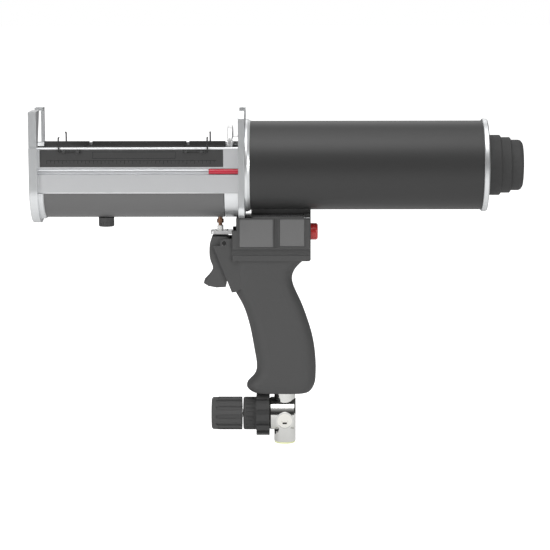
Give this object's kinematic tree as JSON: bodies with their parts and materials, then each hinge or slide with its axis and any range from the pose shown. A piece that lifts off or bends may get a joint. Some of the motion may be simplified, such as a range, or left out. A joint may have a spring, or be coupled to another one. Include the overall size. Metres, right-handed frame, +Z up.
{
  "type": "caulking gun",
  "caption": "Pneumatic gun for twin-barrel cartridges: open cradle, air cylinder with thrust rods, pistol grip with trigger, release button and pressure regulator.",
  "frame": {"origin": "on the front plate's rear face, where the cartridge shoulder seats, on the air cylinder's axis", "axes": "+X from the nose to the rear, +Z up, -Y the near side"},
  "size_m": [0.4962, 0.094, 0.345],
  "materials": {
    "bracket_light": "light alloy",
    "bush_bronze": "sintered bronze",
    "button_red": "red",
    "cap_black": "moulded black",
    "cast_silver": "fine blasted and silver anodised",
    "collar_white": "natural white",
    "disc_polished": "turned and polished",
    "felt": "silencer felt",
    "grip_black": "fine eroded texture",
    "guide_white": "bearing plastic",
    "indicator_red": "red",
    "knob_black": "moulded black",
    "label_grey": "fine matt panel",
    "liner_black": "moulded black",
    "nickel": "nickel plated",
    "nickel_bright": "nickel plated",
    "pipe_black": "polyamide pipe",
    "piston_alloy": "machined",
    "rail_silver": "drawn extrusion, silver anodised",
    "regulator_black": "moulded black",
    "ring_yellow": "pale yellow",
    "rod_chrome": "ground and hard chromed",
    "scale_dark": "dark anodised scale plate",
    "screw_bronze": "dark bronze",
    "seal_rubber": "seal rubber",
    "steel": "bright steel",
    "trigger_black": "fine eroded texture",
    "trough_dark": "satin dark grey",
    "tube_black": "black anodised, satin",
    "wire_black": "black spring wire"
  },
  "bodies": {
    "gun": {"front_plate": "cast_silver", "rail_screws": "steel", "front_collar": "cast_silver", "side_rail_near": "rail_silver", "side_rail_far": "rail_silver", "scale_panels": "scale_dark", "trough": "trough_dark", "cradle_liner": "liner_black", "clip_saddles": "liner_black", "rear_block": "cast_silver", "flange_plate": "cast_silver", "flange_screws": "steel", "cylinder_front_cap": "cast_silver", "cylinder_tube": "tube_black", "cylinder_end_cap": "cast_silver", "tube_seals": "seal_rubber", "rear_cap": "cap_black", "silencer_felt": "felt", "rod_bushes": "bush_bronze", "rod_seals": "seal_rubber", "saddle": "cast_silver", "housing_near": "grip_black", "housing_far": "grip_black", "label_plates": "label_grey", "housing_screws": "steel", "trigger_pin": "steel", "pilot_bracket": "bracket_light", "pilot_collar": "collar_white", "pilot_screw": "screw_bronze", "valve_body": "piston_alloy", "valve_spring": "steel", "button_spring": "steel", "air_pipe": "pipe_black", "inlet_nipple": "nickel", "regulator_body": "nickel", "gauge_plugs": "nickel_bright", "inlet_ring": "ring_yellow", "regulator_bonnet": "regulator_black", "panel_nut": "regulator_black", "diaphragm": "seal_rubber", "regulator_spring": "steel"},
    "pusher": {"thrust_rods": "rod_chrome", "thrust_disc_upper": "disc_polished", "thrust_disc_lower": "disc_polished", "thrust_disc_screws": "steel", "piston": "piston_alloy", "piston_seal": "seal_rubber", "piston_guide_ring": "guide_white", "rod_nuts": "steel", "indicator_rod": "indicator_red"},
    "trigger": {"trigger": "trigger_black"},
    "valve_stem": {"valve_stem": "steel"},
    "release_button": {"release_button": "button_red"},
    "trough_lock": {"trough_lock_knob": "knob_black"},
    "spindle": {"regulator_spindle": "steel"},
    "knob": {"regulator_knob": "knob_black"},
    "clip_front_near": {"clip_wire_front_near": "wire_black"},
    "clip_front_far": {"clip_wire_front_far": "wire_black"},
    "clip_rear_near": {"clip_wire_rear_near": "wire_black"},
    "clip_rear_far": {"clip_wire_rear_far": "wire_black"}
  },
  "joints": [
    {"name": "thrust", "type": "slide", "parent": "gun", "child": "pusher", "axis": [-1, 0, 0], "range_m": [0, 0.165]},
    {"name": "trigger_pull", "type": "hinge", "parent": "gun", "child": "trigger", "pos_m": [0.186, 0, -0.078], "axis": [0, -1, 0], "range_deg": [0, 13], "stiffness_Nm_per_rad": 1.2, "springref_deg": -14.32},
    {"name": "stem_slide", "type": "slide", "parent": "gun", "child": "valve_stem", "axis": [1, 0, 0], "range_m": [0, 0.0024], "deforming": ["valve_spring"]},
    {"name": "button_press", "type": "slide", "parent": "gun", "child": "release_button", "axis": [-1, 0, 0], "range_m": [0, 0.0035], "stiffness_N_per_m": 600, "springref_m": -0.001, "deforming": ["button_spring"]},
    {"name": "trough_lock_turn", "type": "hinge", "parent": "gun", "child": "trough_lock", "pos_m": [0.0655, 0, -0.055], "axis": [0, 0, 1], "range_deg": [0, 90]},
    {"name": "pressure_set", "type": "hinge", "parent": "gun", "child": "spindle", "pos_m": [0.19, 0, -0.2576], "axis": [1, 0, 0], "range_deg": [-720, 720]},
    {"name": "knob_pull", "type": "slide", "parent": "spindle", "child": "knob", "axis": [-1, 0, 0], "range_m": [0, 0.0025]},
    {"name": "clip_front_near", "type": "hinge", "parent": "gun", "child": "clip_front_near", "pos_m": [0.034, -0.0346, 0.0167], "axis": [1, 0, 0], "range_deg": [0, 25], "stiffness_Nm_per_rad": 0.02, "springref_deg": -5.73},
    {"name": "clip_front_far", "type": "hinge", "parent": "gun", "child": "clip_front_far", "pos_m": [0.034, 0.0346, 0.0167], "axis": [-1, 0, 0], "range_deg": [0, 25], "stiffness_Nm_per_rad": 0.02, "springref_deg": -5.73},
    {"name": "clip_rear_near", "type": "hinge", "parent": "gun", "child": "clip_rear_near", "pos_m": [0.1567, -0.0346, 0.0167], "axis": [1, 0, 0], "range_deg": [0, 25], "stiffness_Nm_per_rad": 0.02, "springref_deg": -5.73},
    {"name": "clip_rear_far", "type": "hinge", "parent": "gun", "child": "clip_rear_far", "pos_m": [0.1567, 0.0346, 0.0167], "axis": [-1, 0, 0], "range_deg": [0, 25], "stiffness_Nm_per_rad": 0.02, "springref_deg": -5.73}
  ],
  "couplings": [
    {"joint": "stem_slide", "follows": "trigger_pull", "m_per_rad": 0.01}
  ]
}
